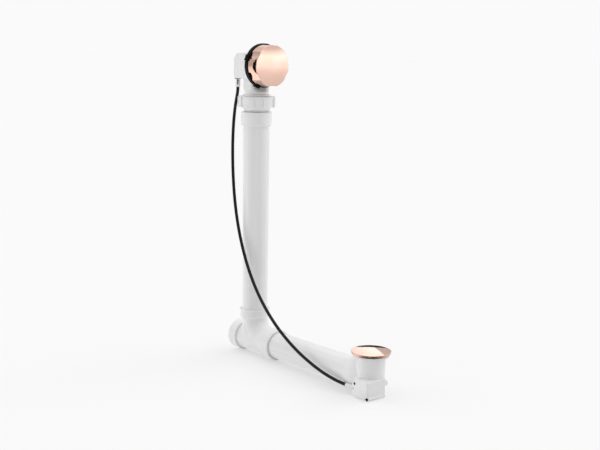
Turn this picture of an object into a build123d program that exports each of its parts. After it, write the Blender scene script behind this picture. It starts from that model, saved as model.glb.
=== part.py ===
from build123d import *
import os
from math import acos, cos, pi, radians, sin, sqrt, tan

# Bath waste and overflow worked by a cable, in millimetres.
# The origin is on the drain axis, at the seat under the rim of the drain flange.
# +X runs from the riser towards the drain, +Z is up, and the rest pose has the drain closed.
os.makedirs("parts", exist_ok=True)

# Overall places
reach = 317.5  # riser axis to drain axis
overflow_rise = 471.5  # drain seat up to the overflow axis
run_drop = 42.5  # drain seat down to the axis of the run

# Clearances
weld_gap = 0.1  # pipe in a solvent-weld socket, on the radius
stop_gap = 0.5  # pipe end to the stop in its socket
seat_gap = 0.3  # pieces that rest against each other
running_gap = 0.05  # shafts in their holes, on the radius
slide_gap = 0.3  # racks on their guides
backlash = 0.2  # taken off the thickness of each tooth
screw_gap = 0.15  # screws in their holes, on the radius

# Pipe and hubs
pipe_radius = 24.13
pipe_wall = 3.68
hub_wall = 3.97
socket_depth = 17.5
hub_taper = 5.0  # length of the cone from a fitting up to its hub
hub_edge = 0.8  # bevel round the mouth of a hub

# Tee, from the crossing of its axes
tee_wall = 4.55
branch_wall = 4.05
outlet_end = 46.0
outlet_hub = 21.0
inlet_end = 72.0
inlet_hub = 25.0
branch_end = 58.5
branch_hub = 13.5
sweep_bend = 44.0

# Overflow head, along X from the riser axis
gasket_seat = 13.6
gasket_thickness = 8.9
bowl_back = -16.5
tray_edge = -21.5
cover_gap = 0.4
flange_thickness = 4.0
flange_radius = 38.5
bowl_radius = 33.0
bowl_wall = 3.5
bowl_waist = 25.3  # radius behind the cone of the bowl
waist_place = -2.0
gasket_overhang = 1.5
gasket_step = 1.0  # the gasket's bore inside the bowl's wall
gasket_edge = 1.0
lug_height = 2.0
lug_width = 11.0
lug_count = 3
lug_angle = 159.0  # of the first lug; none at the top

# Side box of the head, across the overflow axis
box_room = 4.0  # from the wire and from the pinion's pitch circle to the walls
box_bottom = -24.0
box_top = 22.0
box_wall = 2.0
top_bevel = (9.0, 9.0)
bottom_bevel = (2.5, 6.4)

# Neck, barrel and slip joint, as heights from the overflow axis
neck_top = -41.0
neck_bottom = -48.0
neck_half_width = 21.5
neck_front = 13.5
neck_round = 6.0
slip_gap = 0.35
barrel_wall = 2.7
collar_top = -52.5
collar_bottom = -55.5
collar_height = 0.8
thread_height = 2.5
barrel_end = -73.0
nut_top = -55.9
nut_bottom = -75.7
cone_bottom = -84.2
nut_wall = 8.3
nut_edge = 1.0
rib_height = 2.0
rib_width = 9.6
rib_count = 8
rib_angle = -54.1
cone_wall = 7.85
cone_end_wall = 3.15
tail_radius = 19.05
tail_wall = 2.0
tail_top = -50.0
coupling_top = -84.6
coupling_bottom = -110.0
coupling_bevel = 2.0

# Retaining plate behind the knob
plate_thickness = 2.5
plate_overlap = 3.5
plate_bore_gap = 2.0
vent_radius = 4.8
vent_ring = 20.5
post_offset = 19.5
post_radius = 5.0
plate_screw_radius = 2.5
plate_screw_head = (4.5, 2.4)
plate_screw_length = 16.0

# Knob
knob_gap = 0.6
knob_depth = 22.6
knob_dome = 1.4
knob_draft = 0.8
lobe_count = 6
lobe_half = 18.0  # half the angle of a lobe's outer arc
valley_rear = 2.0
valley_front = 1.8
knob_room = 1.2  # round the retaining plate
knob_wall = 2.4
knob_edge = 0.8
knob_face_wall = 3.0
knob_hub_wall = 3.45
knob_hub_depth = 15.5
inlet_half = 14.5
inlet_bulge = 9.0
inlet_setback = 1.0
inlet_floor = 26.0  # depth of the slots, from the knob's axis
set_screw_radius = 2.0
set_screw_length = 6.0
set_screw_back = 10.0  # from the edge of the face

# Spindle and upper drive
knob_turn = 60.0
spindle_radius = 5.0
spindle_flat = 3.8
spindle_collar = (2.5, 2.0)
spindle_end_radius = 3.6
spindle_end_flat = 2.7
boss_wall = 1.6
boss_front = 8.7
ring_section = 1.2
spindle_ring_place = -4.0
module = 1.0
addendum = 0.8
dedendum = 1.0
pressure_angle = 20.0
upper_teeth = 14
gear_width = 5.0
gear_middle = -31.3
pinion_screw_radius = 1.5
pinion_screw_head = (2.8, 1.8)
pinion_screw_length = 9.0
upper_rack_first = -4
upper_rack_last = 1
upper_rack_top = 4.4
upper_rack_bottom = -14.5
rail_width = 2.0

# Cable and its ends
wire_radius = 0.9
cable_radius = 2.9
wire_reach = 12.5  # from the rack's pitch line
wire_hole = 1.3
ferrule_radius = 4.4
spigot_radius = 2.3
ferrule_length = 15.0
sheath_depth = 4.0
bend_share = 0.45  # of the shorter run that each bend may take
clip_size = (10.0, 9.0, 1.0)
slot_angle = -45.0

# Gear cover screws
box_screw_radius = 1.2
box_screw_head = (2.4, 1.6)
box_screw_length = 16.0
box_screws = ((7.2, 10.0), (7.2, -17.0), (-10.0, -18.0))

# Drain shoe, from the drain axis and the axis of the run
shoe_inlet_end = -41.0
shoe_hub = 13.0
shoe_hub_wall = 3.0
shoe_blend = 24.0  # length of the curve from the hub down to the barrel
shoe_wall = 2.9
shoe_draft = 1.2
shoe_flange_step = 2.5
shoe_flange_thickness = 3.0
drain_gasket_thickness = 1.6
drain_gasket_step = 3.0

# Lever box of the shoe
lever_box_back = 9.0
lever_box_ends = (-15.0, 26.5)
lever_box_heights = (-28.5, 2.8)
lever_box_wall = 2.0
lever_box_bevel = 2.5
lever_box_corner = 4.0
lever_box_shoulder = -2.5  # where the slope down to the wire's end begins
lever_box_slope = (-9.5, -3.0)
lever_box_slope_end = -13.0
cover_depth = 5.0
cover_facet = 2.8
cover_round = 3.0
ears = ((-5.5, -6.5), (24.3, -27.2))
ear_radius = 3.5
ear_post = 2.4
ear_height = 3.2
cover_screw_radius = 1.4
cover_screw_head = (2.5, 1.6)
cover_screw_length = 10.0

# Lever, lower rack and lifter arm
shaft_x = 14.0
shaft_z = -9.5
shaft_radius = 4.0
lower_teeth = 18
rack_width = 4.0
rack_room = 0.4
lower_rack_first = -2
lower_rack_last = 2
lower_rack_left = 4.0
lug_left = -2.0
lug_top = -12.0
lower_wire_z = -16.0
ferrule_room = 0.55  # from the lower ferrule to the shoe's hub
lower_ferrule_end = -30.5
lower_ferrule_tip = -13.2
lower_ferrule_radius = 3.6
arm_hub_radius = 7.0
arm_width = 10.0
arm_thickness = 2.6
arm_room = 0.6
pad_radius = 3.0
bearing_radius = 5.6
bearing_end = 22.0
shaft_end = 20.0
shaft_tip = 1.7  # how far the shaft runs into the cover
shaft_ring_place = -19.0

# Drain flange and stopper
rim_radius = 33.5
rim_thickness = 2.2
rim_edge = 1.2
drain_tube_radius = 21.2
drain_tube_wall = 2.6
drain_tube_length = 22.0
seat_depth = 4.0
bar_width = 4.0
bar_height = 4.0
guide_radius = 8.5
stem_radius = 4.5
stopper_overhang = 0.6
stopper_edge = 1.4
stopper_dome = 0.9
stopper_gap = 0.4
stopper_round = 0.5
stopper_boss = (9.0, 8.0)
stem_socket = 6.0
seal_inner = 14.5
seal_gap = 0.6
seal_depth = 1.8
seal_taper = 1.2

# Places that follow from the sizes
riser_x = -reach
run_z = -run_drop
pipe_bore = pipe_radius - pipe_wall
socket_radius = pipe_radius + weld_gap
hub_radius = socket_radius + hub_wall
tee_radius = pipe_bore + tee_wall
branch_radius = pipe_bore + branch_wall
upper_pitch = module * upper_teeth / 2
lower_pitch = module * lower_teeth / 2
lever_turn = knob_turn * upper_teeth / lower_teeth
rack_travel = upper_pitch * radians(knob_turn)
stopper_lift = 2 * shaft_x * sin(radians(lever_turn / 2))
gear_back = gear_middle - gear_width / 2
gear_front = gear_middle + gear_width / 2
cover_back = gear_back - cover_gap - box_wall
wire_x = riser_x + gear_middle
wire_y = -upper_pitch - wire_reach
box_left = wire_y - box_room - box_wall
box_right = upper_pitch + box_room
box_floor_z = overflow_rise + box_bottom
ferrule_top = box_floor_z - clip_size[2]
ferrule_bottom = ferrule_top - ferrule_length
barrel_bore = tail_radius + slip_gap
barrel_radius = barrel_bore + barrel_wall
thread_radius = barrel_radius + thread_height
collar_radius = thread_radius + collar_height
nut_hole = tail_radius + seat_gap
nut_bore = thread_radius + seat_gap
nut_radius = nut_bore + nut_wall
rib_radius = nut_radius + rib_height
cone_radius = nut_hole + cone_wall
cone_end_radius = nut_hole + cone_end_wall
bowl_inner = bowl_radius - bowl_wall
waist_inner = bowl_waist - bowl_wall
flange_back = gasket_seat - flange_thickness
gasket_face = gasket_seat + gasket_thickness
gasket_radius = flange_radius + gasket_overhang
gasket_bore = bowl_inner - gasket_step
boss_radius = spindle_radius + 2 * ring_section + boss_wall
collar_ring_radius = spindle_radius + spindle_collar[0]
plate_radius = gasket_bore + plate_overlap
plate_bore = collar_ring_radius + plate_bore_gap
knob_back = gasket_face + knob_gap
knob_face = knob_back + knob_depth
knob_radius = plate_radius + knob_room + valley_rear + knob_wall + knob_draft
knob_inner = knob_radius - knob_draft - knob_wall
knob_sphere = (knob_radius**2 + knob_dome**2) / (2 * knob_dome)
knob_hub_radius = spindle_radius + running_gap + knob_hub_wall
shoe_top = run_drop - drain_gasket_thickness
shoe_bore = drain_tube_radius + seat_gap
shoe_radius = shoe_bore + shoe_wall
shoe_top_radius = shoe_radius + shoe_draft
shoe_hub_radius = socket_radius + shoe_hub_wall
shoe_flange_radius = rim_radius - shoe_flange_step
drain_gasket_radius = rim_radius - drain_gasket_step
drain_bore = drain_tube_radius - drain_tube_wall
seat_mouth = drain_tube_radius + seat_gap
stopper_radius = rim_radius + stopper_overhang
seal_outer = seat_mouth - seal_gap
lever_box_outline = (
    (lever_box_ends[0], lever_box_heights[0] + lever_box_corner),
    (lever_box_ends[0] + lever_box_corner, lever_box_heights[0]),
    (lever_box_ends[1], lever_box_heights[0]),
    (lever_box_ends[1], lever_box_heights[1] - lever_box_bevel),
    (lever_box_ends[1] - lever_box_bevel, lever_box_heights[1]),
    (lever_box_shoulder, lever_box_heights[1]),
    lever_box_slope,
    (lever_box_ends[0], lever_box_slope_end),
)
lower_wire_y = -sqrt((shoe_hub_radius + lower_ferrule_radius + ferrule_room) ** 2 - lower_wire_z**2)
rack_far = lower_wire_y + rack_width / 2
rack_near = lower_wire_y - rack_width / 2
lever_box_floor = rack_far + rack_room
lever_box_front = lower_wire_y
cover_face = lever_box_front - cover_depth
cover_recess = rack_near - rack_room
ear_seat = lever_box_front - ear_height
shaft_near = cover_recess - shaft_tip
pad_rest_z = shaft_z - shaft_x * sin(radians(lever_turn / 2)) + pad_radius
riser_axis = Axis((riser_x, 0, 0), (0, 0, 1))
overflow_axis = Axis((0, 0, overflow_rise), (1, 0, 0))
run_axis = Axis((0, 0, run_z), (1, 0, 0))


def across(x):
    """Plane facing +X on the overflow axis, x from the riser axis, with Y across and Z up."""
    return Plane(origin=(riser_x + x, 0, overflow_rise), x_dir=(0, 1, 0), z_dir=(1, 0, 0))


def upright(x, z, y=0):
    """Plane facing -Y at y, with X across and Z up from the point x, z."""
    return Plane(origin=(x, y, z), x_dir=(1, 0, 0), z_dir=(0, -1, 0))


def level(x, z, y=0):
    """Plane facing up at the point x, y, z."""
    return Plane(origin=(x, y, z))


def facing_x(x, y, z):
    """Plane facing +X at the point x, y, z, with Y across and Z up."""
    return Plane(origin=(x, y, z), x_dir=(0, 1, 0), z_dir=(1, 0, 0))


def polar(radius, angle):
    """Point at a radius and an angle in degrees."""
    return (radius * cos(radians(angle)), radius * sin(radians(angle)))


def dome_height(radius, rim, rise):
    """Height above its rim of a spherical dome, at a radius."""
    sphere = (rim**2 + rise**2) / (2 * rise)
    return sqrt(sphere**2 - radius**2) - sphere + rise


def pinion_points(teeth, contact_angle):
    """Outline of a pinion with involute flanks and a gap at the contact angle."""
    pitch_radius = module * teeth / 2
    base_radius = pitch_radius * cos(radians(pressure_angle))
    root_radius = pitch_radius - dedendum
    tip_radius = pitch_radius + addendum
    pitch_involute = tan(radians(pressure_angle)) - radians(pressure_angle)
    half_pitch = (pi * module / 2 - backlash) / (2 * pitch_radius) + pitch_involute
    flank = []
    for radius in (base_radius, pitch_radius, tip_radius):
        roll = acos(base_radius / radius)
        flank.append((radius, (half_pitch - tan(roll) + roll) * 180 / pi))
    if root_radius < base_radius:
        flank.insert(0, (root_radius, flank[0][1]))
    points = []
    for tooth in range(teeth):
        centre = contact_angle + (tooth + 0.5) * 360 / teeth
        points += [polar(radius, centre - half) for radius, half in flank]
        points += [polar(radius, centre + half) for radius, half in reversed(flank)]
    return points


def rack_points(first, last):
    """Teeth of a rack as (along, out) points, out being zero on the pitch line."""
    half_pitch = (pi * module / 2 - backlash) / 2
    half_tip = half_pitch - addendum * tan(radians(pressure_angle))
    half_root = half_pitch + dedendum * tan(radians(pressure_angle))
    points = []
    for tooth in range(first, last + 1):
        centre = tooth * pi * module
        points += [(centre - half_root, -dedendum), (centre - half_tip, addendum)]
        points += [(centre + half_tip, addendum), (centre + half_root, -dedendum)]
    return points


def lobed_outline(radius, valley):
    """Closed outline of broad round lobes with a narrow valley between each two."""
    pitch = 360 / lobe_count
    for lobe in range(lobe_count):
        middle = lobe * pitch
        start = polar(radius, middle - lobe_half)
        end = polar(radius, middle + lobe_half)
        following = polar(radius, middle + pitch - lobe_half)
        ThreePointArc(start, polar(radius, middle), end)
        ThreePointArc(end, polar(radius - valley, middle + pitch / 2), following)


# Tee of the run and the riser
with BuildPart() as tee:
    with BuildSketch(upright(riser_x, run_z)):
        with BuildLine():
            Polyline(
                (-outlet_end, 0),
                (-outlet_end, hub_radius - hub_edge),
                (hub_edge - outlet_end, hub_radius),
                (outlet_hub - outlet_end, hub_radius),
                (outlet_hub - outlet_end, tee_radius),
                (inlet_end - inlet_hub - hub_taper, tee_radius),
                (inlet_end - inlet_hub, hub_radius),
                (inlet_end - hub_edge, hub_radius),
                (inlet_end, hub_radius - hub_edge),
                (inlet_end, 0),
                close=True,
            )
        make_face()
    revolve(axis=run_axis)
    with BuildSketch(upright(riser_x, run_z)):
        with BuildLine():
            Polyline(
                (0, 0),
                (branch_radius, 0),
                (branch_radius, branch_end - branch_hub - hub_taper),
                (hub_radius, branch_end - branch_hub),
                (hub_radius, branch_end - hub_edge),
                (hub_radius - hub_edge, branch_end),
                (0, branch_end),
                close=True,
            )
        make_face()
    revolve(axis=riser_axis)
    with BuildSketch(level(riser_x, run_z + sweep_bend)):
        Circle(branch_radius - seat_gap)
    revolve(axis=Axis((riser_x + sweep_bend, 0, run_z + sweep_bend), (0, -1, 0)), revolution_arc=90)
    with BuildSketch(upright(riser_x, run_z)):
        with BuildLine():
            Polyline(
                (-outlet_end, 0),
                (-outlet_end, socket_radius + hub_edge),
                (hub_edge - outlet_end, socket_radius),
                (socket_depth - outlet_end, socket_radius),
                (socket_depth - outlet_end, pipe_bore),
                (inlet_end - socket_depth, pipe_bore),
                (inlet_end - socket_depth, socket_radius),
                (inlet_end - hub_edge, socket_radius),
                (inlet_end, socket_radius + hub_edge),
                (inlet_end, 0),
                close=True,
            )
        make_face()
    revolve(axis=run_axis, mode=Mode.SUBTRACT)
    with BuildSketch(level(riser_x, run_z)):
        Circle(pipe_bore - seat_gap)
    extrude(amount=branch_end, mode=Mode.SUBTRACT)
    with BuildSketch(upright(riser_x, run_z)):
        with BuildLine():
            Polyline(
                (0, branch_end),
                (socket_radius + hub_edge, branch_end),
                (socket_radius, branch_end - hub_edge),
                (socket_radius, branch_end - socket_depth),
                (0, branch_end - socket_depth),
                close=True,
            )
        make_face()
    revolve(axis=riser_axis, mode=Mode.SUBTRACT)

# Pipe of the run, from the tee to the drain shoe
run_start = riser_x + inlet_end - socket_depth + stop_gap
run_end = shoe_inlet_end + socket_depth - stop_gap
with BuildPart() as run_pipe:
    with BuildSketch(facing_x(run_start, 0, run_z)):
        Circle(pipe_radius)
        Circle(pipe_bore, mode=Mode.SUBTRACT)
    extrude(amount=run_end - run_start)

# Riser pipe, from the tee to the coupling
riser_start = run_z + branch_end - socket_depth + stop_gap
riser_end = overflow_rise + coupling_bottom + socket_depth - stop_gap
with BuildPart() as riser_pipe:
    with BuildSketch(level(riser_x, riser_start)):
        Circle(pipe_radius)
        Circle(pipe_bore, mode=Mode.SUBTRACT)
    extrude(amount=riser_end - riser_start)

# Coupling with the thin tailpiece of the slip joint
with BuildPart() as riser_coupling:
    with BuildSketch(upright(riser_x, overflow_rise)):
        with BuildLine():
            Polyline(
                (tail_radius - tail_wall, tail_top),
                (tail_radius, tail_top),
                (tail_radius, coupling_top),
                (hub_radius - hub_edge, coupling_top),
                (hub_radius, coupling_top - hub_edge),
                (hub_radius, coupling_bottom + coupling_bevel),
                (hub_radius - coupling_bevel / 2, coupling_bottom),
                (socket_radius + hub_edge, coupling_bottom),
                (socket_radius, coupling_bottom + hub_edge),
                (socket_radius, coupling_bottom + socket_depth),
                (tail_radius - tail_wall, coupling_bottom + socket_depth),
                close=True,
            )
        make_face()
    revolve(axis=riser_axis)

# Slip nut with ribs for the hand and a cone below
washer_slope_top = barrel_end - seat_gap
with BuildPart() as slip_nut:
    with BuildSketch(upright(riser_x, overflow_rise)):
        with BuildLine():
            Polyline(
                (nut_hole, cone_bottom),
                (cone_end_radius, cone_bottom),
                (cone_radius, nut_bottom),
                (nut_radius, nut_bottom),
                (nut_radius, nut_top - nut_edge),
                (nut_radius - nut_edge, nut_top),
                (nut_bore, nut_top),
                (nut_bore, washer_slope_top),
                (nut_hole, washer_slope_top - (thread_radius - tail_radius)),
                close=True,
            )
        make_face()
    revolve(axis=riser_axis)
    with BuildSketch(level(riser_x, overflow_rise + nut_bottom)):
        with PolarLocations((nut_radius + rib_radius) / 2 - seat_gap, rib_count, start_angle=rib_angle):
            Rectangle(rib_radius - nut_radius + 2 * seat_gap, rib_width)
    extrude(amount=nut_top - nut_edge - nut_bottom)

# Tapered washer squeezed by the slip nut
washer_bore = tail_radius + running_gap
washer_top_radius = thread_radius - seat_gap
with BuildPart() as slip_washer:
    with BuildSketch(upright(riser_x, overflow_rise)):
        with BuildLine():
            Polyline(
                (washer_bore, barrel_end),
                (washer_top_radius, barrel_end),
                (washer_bore + seat_gap, barrel_end - (washer_top_radius - washer_bore)),
                (washer_bore, barrel_end - (washer_top_radius - washer_bore)),
                close=True,
            )
        make_face()
    revolve(axis=riser_axis)

# Overflow body: bowl, flange, neck, threaded barrel and the tray of the side box, moulded as one
bowl_floor = bowl_back + bowl_wall
neck_centre = (neck_front + bowl_back) / 2
neck_length = neck_front - bowl_back
neck_reach = -neck_top - neck_half_width / 2
tray_floor = bowl_back - box_wall
with BuildPart() as overflow_body:
    with BuildSketch(upright(riser_x, overflow_rise)):
        with BuildLine():
            Polyline(
                (gasket_seat, 0),
                (gasket_seat, flange_radius),
                (flange_back, flange_radius),
                (flange_back, bowl_radius),
                (waist_place, bowl_waist),
                (bowl_back, bowl_waist),
                (bowl_back, 0),
                close=True,
            )
        make_face()
    revolve(axis=overflow_axis)
    with BuildSketch(level(riser_x, overflow_rise + neck_bottom)):
        Circle(barrel_radius)
    with BuildSketch(level(riser_x + neck_centre, overflow_rise + neck_top)):
        RectangleRounded(neck_length, 2 * neck_half_width, neck_round)
    loft()
    with BuildSketch(level(riser_x + neck_centre, overflow_rise + neck_top)):
        RectangleRounded(neck_length, 2 * neck_half_width, neck_round)
    extrude(amount=neck_reach)
    with BuildSketch(upright(riser_x, overflow_rise)):
        with BuildLine():
            Polyline(
                (0, neck_bottom),
                (barrel_radius, neck_bottom),
                (barrel_radius, collar_top),
                (collar_radius, collar_top),
                (collar_radius, collar_bottom),
                (thread_radius, collar_bottom),
                (thread_radius, barrel_end),
                (0, barrel_end),
                close=True,
            )
        make_face()
    revolve(axis=riser_axis)
    with BuildSketch(across(tray_edge)):
        with Locations(((box_left + box_right) / 2, (box_bottom + box_top) / 2)):
            Rectangle(box_right - box_left, box_top - box_bottom)
    extrude(amount=flange_back - tray_edge)
    with BuildSketch(across(tray_edge)):
        with Locations(((box_left + box_right) / 2, (box_bottom + box_top) / 2)):
            Rectangle(box_right - box_left - 2 * box_wall, box_top - box_bottom - 2 * box_wall)
    extrude(amount=tray_floor - tray_edge, mode=Mode.SUBTRACT)
    with BuildSketch(upright(riser_x, overflow_rise)):
        with BuildLine():
            Polyline(
                (gasket_seat, 0),
                (gasket_seat, bowl_inner),
                (flange_back, bowl_inner),
                (waist_place, waist_inner),
                (bowl_floor, waist_inner),
                (bowl_floor, 0),
                close=True,
            )
        make_face()
    revolve(axis=overflow_axis, mode=Mode.SUBTRACT)
    with BuildSketch(level(riser_x, overflow_rise + neck_bottom)):
        Circle(barrel_bore)
    with BuildSketch(level(riser_x + neck_centre, overflow_rise + neck_top)):
        RectangleRounded(neck_length - 2 * bowl_wall, 2 * (neck_half_width - bowl_wall), neck_round - bowl_wall)
    loft(mode=Mode.SUBTRACT)
    with BuildSketch(level(riser_x + neck_centre, overflow_rise + neck_top)):
        RectangleRounded(neck_length - 2 * bowl_wall, 2 * (neck_half_width - bowl_wall), neck_round - bowl_wall)
    extrude(amount=neck_reach, mode=Mode.SUBTRACT)
    with BuildSketch(level(riser_x, overflow_rise + neck_bottom)):
        Circle(barrel_bore)
    extrude(amount=barrel_end - neck_bottom, mode=Mode.SUBTRACT)
    with BuildSketch(across(bowl_floor)):
        Circle(boss_radius)
    extrude(amount=boss_front - bowl_floor)
    with BuildSketch(across(bowl_floor)):
        with Locations((post_offset, 0), (-post_offset, 0)):
            Circle(post_radius)
    extrude(amount=gasket_face - seat_gap - bowl_floor)
    with BuildSketch(across(gasket_face)):
        with Locations((post_offset, 0), (-post_offset, 0)):
            Circle(plate_screw_radius + screw_gap)
    extrude(amount=-plate_screw_length, mode=Mode.SUBTRACT)
    with BuildSketch(across(tray_floor)):
        with Locations((wire_y - rail_width, 0), (wire_y + 3 * rail_width, 0)):
            Rectangle(rail_width, upper_rack_top - upper_rack_bottom)
    extrude(amount=gear_front + slide_gap - tray_floor)
    with BuildSketch(across(tray_floor)):
        with Locations(*box_screws):
            Circle(2 * box_screw_radius)
    extrude(amount=tray_edge - tray_floor)
    with BuildSketch(across(tray_edge)):
        with Locations(*box_screws):
            Circle(box_screw_radius + screw_gap)
    extrude(amount=bowl_back - tray_edge, mode=Mode.SUBTRACT)
    with BuildSketch(across(tray_edge)):
        Circle(spindle_radius + running_gap)
    extrude(amount=boss_front - tray_edge, mode=Mode.SUBTRACT)
    with BuildSketch(across(spindle_ring_place)):
        Circle(spindle_radius + 2 * ring_section)
    extrude(amount=ring_section + seat_gap, both=True, mode=Mode.SUBTRACT)

# O-ring on the spindle
with BuildPart() as spindle_o_ring:
    with BuildSketch(upright(riser_x + spindle_ring_place, overflow_rise)):
        with Locations((0, spindle_radius + ring_section)):
            Circle(ring_section - running_gap)
    revolve(axis=overflow_axis)

# Black gasket between the bath wall and the overflow flange
with BuildPart() as overflow_gasket:
    with BuildSketch(across(gasket_seat)):
        Circle(gasket_radius)
        with PolarLocations(gasket_radius, lug_count, start_angle=lug_angle, angular_range=90 * lug_count):
            Rectangle(2 * lug_height, lug_width)
        Circle(gasket_bore, mode=Mode.SUBTRACT)
    extrude(amount=gasket_thickness)
    gasket_faces = overflow_gasket.faces().sort_by(Axis.X)
    for face in (gasket_faces[0], gasket_faces[-1]):
        chamfer(face.outer_wire().edges(), gasket_edge)

# Plate behind the knob that clamps the head to the bath
vent_angles = (45, 90, 135, 225, 270, 315)
with BuildPart() as retaining_plate:
    with BuildSketch(across(gasket_face)):
        Circle(plate_radius)
        Circle(plate_bore, mode=Mode.SUBTRACT)
        with Locations((post_offset, 0), (-post_offset, 0)):
            Circle(plate_screw_radius + screw_gap, mode=Mode.SUBTRACT)
        with Locations(*[polar(vent_ring, angle) for angle in vent_angles]):
            Circle(vent_radius, mode=Mode.SUBTRACT)
    extrude(amount=plate_thickness)

# Two screws of the plate
with BuildPart() as retaining_screws:
    with BuildSketch(across(gasket_face + plate_thickness)):
        with Locations((post_offset, 0), (-post_offset, 0)):
            Circle(plate_screw_head[0])
    extrude(amount=plate_screw_head[1])
    with BuildSketch(across(gasket_face + plate_thickness)):
        with Locations((post_offset, 0), (-post_offset, 0)):
            Circle(plate_screw_radius)
    extrude(amount=-plate_screw_length)

# Knob with six lobes, a domed face and an inlet slot at each side
with BuildPart() as knob:
    with BuildSketch(across(knob_back)):
        with BuildLine():
            lobed_outline(knob_radius, valley_rear)
        make_face()
    with BuildSketch(across(knob_face + knob_dome)):
        with BuildLine():
            lobed_outline(knob_radius - knob_draft, valley_front)
        make_face()
    loft()
    dome_centre = (riser_x + knob_face + knob_dome - knob_sphere, 0, overflow_rise)
    with Locations(Location(dome_centre, (0, 0, 180))):
        Sphere(knob_sphere, mode=Mode.INTERSECT)
    fillet(knob.faces().sort_by(Axis.X)[-1].edges(), knob_edge)
    with BuildSketch(across(knob_back)):
        with BuildLine():
            lobed_outline(knob_inner, valley_rear)
        make_face()
    extrude(amount=knob_depth - knob_face_wall, mode=Mode.SUBTRACT)
    with BuildSketch(across(knob_face - knob_face_wall)):
        Circle(knob_hub_radius)
    extrude(amount=-knob_hub_depth)
    with BuildSketch(across(knob_face - knob_face_wall - knob_hub_depth)):
        Circle(spindle_radius + running_gap)
        with Locations((0, -spindle_radius - spindle_flat - running_gap)):
            Rectangle(4 * spindle_radius, 2 * spindle_radius, mode=Mode.SUBTRACT)
    extrude(amount=knob_hub_depth, mode=Mode.SUBTRACT)
    slot_front = knob_face - inlet_setback
    with BuildSketch(upright(riser_x, overflow_rise, -inlet_floor)):
        with BuildLine():
            slot_middle = (slot_front - inlet_bulge, 0)
            ThreePointArc((slot_front, -inlet_half), slot_middle, (slot_front, inlet_half))
            Line((slot_front, inlet_half), (slot_front, -inlet_half))
        make_face()
    slot_cut = extrude(amount=knob_radius - inlet_floor, mode=Mode.SUBTRACT)
    mirror(slot_cut, about=Plane.XZ, mode=Mode.SUBTRACT)
    with BuildSketch(level(riser_x + knob_face - set_screw_back, overflow_rise)):
        Circle(set_screw_radius + screw_gap)
    extrude(amount=-knob_radius, mode=Mode.SUBTRACT)

# Set screw that holds the knob on the flat of the spindle
with BuildPart() as knob_set_screw:
    with BuildSketch(level(riser_x + knob_face - set_screw_back, overflow_rise - spindle_flat)):
        Circle(set_screw_radius)
    extrude(amount=-set_screw_length)

# Spindle from the knob to the drive pinion, with a flat at each end
spindle_back = gear_back + pinion_screw_head[1] + seat_gap
spindle_front = knob_face - knob_face_wall - seat_gap
with BuildPart() as spindle:
    with BuildSketch(across(spindle_back)):
        Circle(spindle_end_radius)
        with Locations((0, -spindle_end_radius - spindle_end_flat)):
            Rectangle(4 * spindle_end_radius, 2 * spindle_end_radius, mode=Mode.SUBTRACT)
    extrude(amount=gear_front - spindle_back)
    with BuildSketch(across(gear_front)):
        Circle(spindle_radius)
    extrude(amount=spindle_front - gear_front)
    with BuildSketch(across(boss_front + seat_gap)):
        Circle(collar_ring_radius)
    extrude(amount=spindle_collar[1])
    with BuildSketch(across(knob_back + plate_thickness)):
        with Locations((0, -spindle_radius - spindle_flat)):
            Rectangle(4 * spindle_radius, 2 * spindle_radius)
    extrude(amount=knob_depth, mode=Mode.SUBTRACT)
    with BuildSketch(across(spindle_back)):
        Circle(pinion_screw_radius + screw_gap)
    extrude(amount=pinion_screw_length, mode=Mode.SUBTRACT)

# Drive pinion on the back of the spindle
with BuildPart() as drive_pinion:
    with BuildSketch(across(gear_back)):
        with BuildLine():
            Polyline(*pinion_points(upper_teeth, 180), close=True)
        make_face()
    extrude(amount=gear_width)
    with BuildSketch(across(gear_back)):
        Circle(pinion_screw_head[0] + screw_gap)
    extrude(amount=pinion_screw_head[1], mode=Mode.SUBTRACT)
    with BuildSketch(across(gear_back)):
        Circle(pinion_screw_radius + screw_gap)
    extrude(amount=gear_width, mode=Mode.SUBTRACT)
    with BuildSketch(across(spindle_back)):
        Circle(spindle_end_radius + running_gap)
        with Locations((0, -spindle_end_radius - spindle_end_flat - running_gap)):
            Rectangle(4 * spindle_end_radius, 2 * spindle_end_radius, mode=Mode.SUBTRACT)
    extrude(amount=gear_width, mode=Mode.SUBTRACT)

# Screw of the pinion, its head sunk in the pinion
with BuildPart() as pinion_screw:
    with BuildSketch(across(gear_back)):
        Circle(pinion_screw_head[0])
    extrude(amount=pinion_screw_head[1])
    with BuildSketch(across(gear_back)):
        Circle(pinion_screw_radius)
    extrude(amount=pinion_screw_length)

# Rack that the pinion lifts, with the wire held in its foot
rack_outer = box_left + box_wall + slide_gap
with BuildPart() as upper_rack:
    with BuildSketch(across(gear_back)):
        with BuildLine():
            teeth = [(out - upper_pitch, along) for along, out in rack_points(upper_rack_first, upper_rack_last)]
            Polyline(
                (rack_outer, upper_rack_bottom),
                (-upper_pitch - dedendum, upper_rack_bottom),
                *teeth,
                (-upper_pitch - dedendum, upper_rack_top),
                (rack_outer, upper_rack_top),
                close=True,
            )
        make_face()
    extrude(amount=gear_width)
    with BuildSketch(level(wire_x, overflow_rise + upper_rack_bottom, wire_y)):
        Circle(wire_radius + running_gap)
    extrude(amount=gear_width, mode=Mode.SUBTRACT)

# Upper end of the wire, which moves with the rack
with BuildPart() as upper_wire:
    with BuildSketch(level(wire_x, overflow_rise + upper_rack_bottom + gear_width - seat_gap, wire_y)):
        Circle(wire_radius)
    extrude(amount=box_bottom - upper_rack_bottom - gear_width - ferrule_length / 2)

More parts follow.
